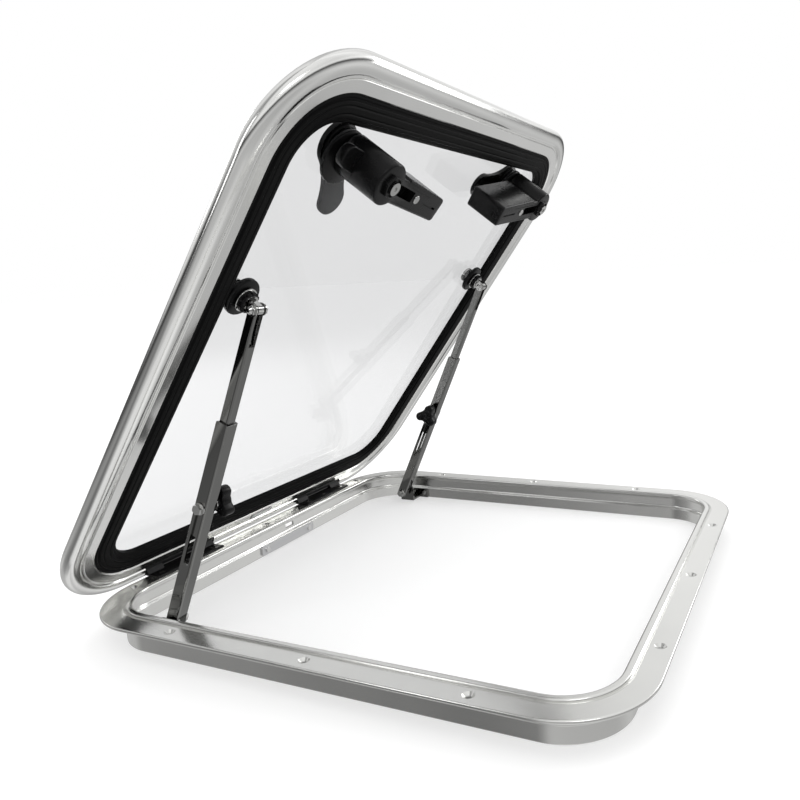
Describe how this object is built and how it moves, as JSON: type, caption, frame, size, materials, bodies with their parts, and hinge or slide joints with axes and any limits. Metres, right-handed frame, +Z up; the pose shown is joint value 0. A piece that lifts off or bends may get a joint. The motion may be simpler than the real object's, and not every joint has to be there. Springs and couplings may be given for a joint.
{
  "type": "deck hatch",
  "caption": "Square deck hatch: aluminium base frame and hinged lid rim, clear acrylic pane, rubber seal, telescoping friction stays and turning inside and outside handles.",
  "frame": {"origin": "centre of the flange's screw pattern, on the deck plane (the flange's underside)", "axes": "+X along the hinge line to the right, +Y to the hinge side, +Z up out of the deck; the lid is stored open at 51.8 degrees"},
  "size_m": [0.5498, 0.5354, 0.4643],
  "materials": {
    "frame_aluminium": "satin bright anodised",
    "rim_aluminium": "polished bright",
    "clear_acrylic": "clear, lightly smoked",
    "black_sealant": "matt",
    "black_rubber": "matt",
    "steel_screws": "bright",
    "hinge_black": "satin black",
    "pin_steel": "bright",
    "black_nylon": "satin black",
    "bright_chrome": "mirror",
    "arm_steel": "polished",
    "channel_steel": "polished",
    "knob_black": "satin black",
    "bracket_steel": "satin",
    "handle_black": "satin black, lightly grained",
    "spindle_steel": "bright",
    "paddle_black": "satin dark grey"
  },
  "bodies": {
    "base": {"base_frame": "frame_aluminium", "frame_joint_plate": "frame_aluminium", "frame_joint_screws": "steel_screws", "hinge_base_left": "hinge_black", "hinge_base_right": "hinge_black", "hinge_pin_left": "pin_steel", "hinge_pin_right": "pin_steel", "hinge_screws": "steel_screws", "foot_bracket_left": "bracket_steel", "foot_bracket_right": "bracket_steel", "foot_bolt_left": "bright_chrome", "foot_bolt_right": "bright_chrome", "foot_screws": "steel_screws"},
    "lid": {"lid_frame": "rim_aluminium", "lid_pane": "clear_acrylic", "pane_sealant": "black_sealant", "lid_gasket": "black_rubber", "lid_joint_plate": "rim_aluminium", "hinge_lid_left": "hinge_black", "hinge_lid_right": "hinge_black", "stay_pad_left": "black_nylon", "stay_pad_right": "black_nylon", "stay_ring_left": "bright_chrome", "stay_ring_right": "bright_chrome", "stay_neck_left": "black_nylon", "stay_neck_right": "black_nylon", "stay_lug_left": "bright_chrome", "stay_lug_right": "bright_chrome", "stay_pad_screws": "black_nylon", "handle_base_left": "handle_black", "handle_base_right": "handle_black", "handle_seal_left": "black_rubber", "handle_seal_right": "black_rubber"},
    "left_channel": {"stay_channel_left": "channel_steel"},
    "left_arm": {"stay_arm_left": "arm_steel", "stay_pivot_left": "bright_chrome", "clamp_stud_left": "bright_chrome", "clamp_washer_left": "bright_chrome"},
    "left_knob": {"clamp_knob_left": "knob_black"},
    "left_handle": {"handle_lever_left": "handle_black", "handle_spindle_left": "spindle_steel", "handle_ring_left": "bright_chrome", "handle_pin_left": "bright_chrome", "handle_paddle_left": "paddle_black"},
    "right_channel": {"stay_channel_right": "channel_steel"},
    "right_arm": {"stay_arm_right": "arm_steel", "stay_pivot_right": "bright_chrome", "clamp_stud_right": "bright_chrome", "clamp_washer_right": "bright_chrome"},
    "right_knob": {"clamp_knob_right": "knob_black"},
    "right_handle": {"handle_lever_right": "handle_black", "handle_spindle_right": "spindle_steel", "handle_ring_right": "bright_chrome", "handle_pin_right": "bright_chrome", "handle_paddle_right": "paddle_black"}
  },
  "joints": [
    {"name": "lid_hinge", "type": "hinge", "parent": "base", "child": "lid", "pos_m": [0, 0.2652, 0.0092], "axis": [-1, 0, 0], "range_deg": [-51.8, 0]},
    {"name": "left_stay_swing", "type": "hinge", "parent": "base", "child": "left_channel", "pos_m": [-0.207, 0.18, -0.013], "axis": [-1, 0, 0], "range_deg": [-62.42, 0.05]},
    {"name": "left_stay_slide", "type": "slide", "parent": "left_channel", "child": "left_arm", "axis": [0, -0.4399, 0.898], "range_m": [-0.05689, 0.0001]},
    {"name": "left_knob_turn", "type": "hinge", "parent": "left_arm", "child": "left_knob", "pos_m": [-0.19, 0.12369, 0.10195], "axis": [-1, 0, 0], "range_deg": [0, 180]},
    {"name": "left_handle_turn", "type": "hinge", "parent": "lid", "child": "left_handle", "pos_m": [-0.16, -0.02011, 0.3792], "axis": [0, 0.7859, 0.6184], "range_deg": [0, 90]},
    {"name": "right_stay_swing", "type": "hinge", "parent": "base", "child": "right_channel", "pos_m": [0.207, 0.18, -0.013], "axis": [-1, 0, 0], "range_deg": [-62.42, 0.05]},
    {"name": "right_stay_slide", "type": "slide", "parent": "right_channel", "child": "right_arm", "axis": [0, -0.4399, 0.898], "range_m": [-0.05689, 0.0001]},
    {"name": "right_knob_turn", "type": "hinge", "parent": "right_arm", "child": "right_knob", "pos_m": [0.19, 0.12369, 0.10195], "axis": [1, 0, 0], "range_deg": [0, 180]},
    {"name": "right_handle_turn", "type": "hinge", "parent": "lid", "child": "right_handle", "pos_m": [0.16, -0.02011, 0.3792], "axis": [0, -0.7859, -0.6184], "range_deg": [0, 90]}
  ],
  "couplings": [
    {"joint": "left_stay_swing", "follows": "lid_hinge", "ratio": 1.2041},
    {"joint": "left_stay_slide", "follows": "lid_hinge", "m_per_rad": 0.062812},
    {"joint": "right_stay_swing", "follows": "lid_hinge", "ratio": 1.2041},
    {"joint": "right_stay_slide", "follows": "lid_hinge", "m_per_rad": 0.062812}
  ]
}
